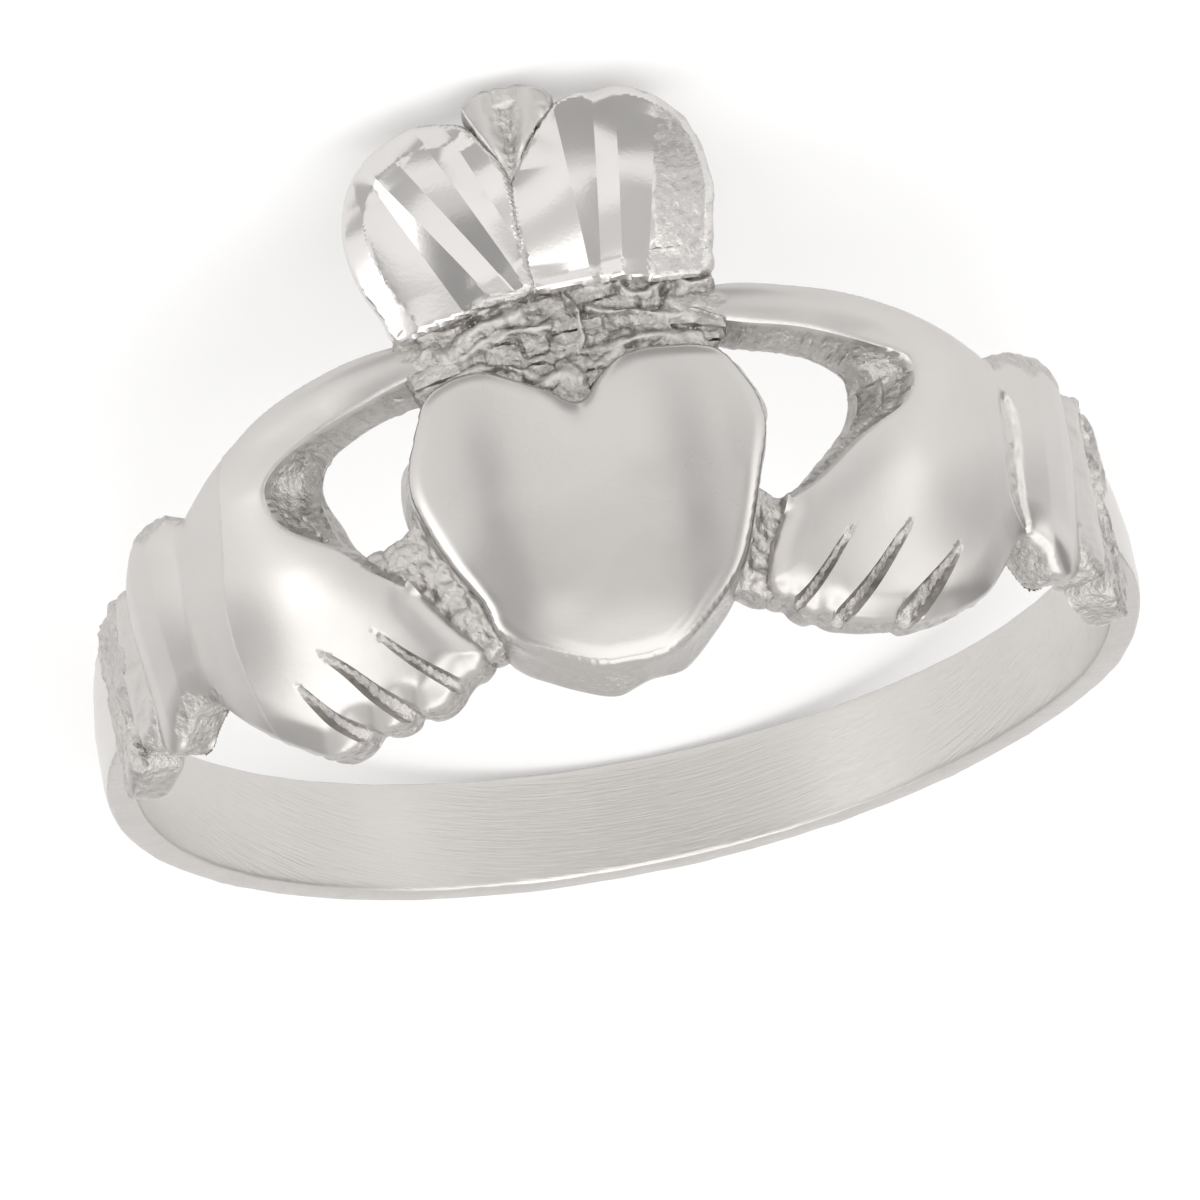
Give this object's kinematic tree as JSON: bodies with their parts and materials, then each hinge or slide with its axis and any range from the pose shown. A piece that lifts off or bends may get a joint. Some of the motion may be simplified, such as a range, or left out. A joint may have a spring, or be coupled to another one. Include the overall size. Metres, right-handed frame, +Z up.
{
  "type": "claddagh ring",
  "caption": "Finger ring cast in one piece: cuffed hands hold a crowned heart on a plain narrow band, with pierced gaps beside the heart",
  "frame": {"origin": "centre of the finger hole, on its axis and midway across the band", "axes": "+Z up with the ring lying on its side, crown down; the head faces -Y; the finger hole's axis leans 18.5 degrees from +Z towards +Y"},
  "size_m": [0.0184, 0.0205, 0.0109],
  "materials": {
    "silver": "polished sterling silver, satin inside the band and rough in the cast hollows"
  },
  "bodies": {
    "root": {"ring": "silver"}
  },
  "joints": []
}
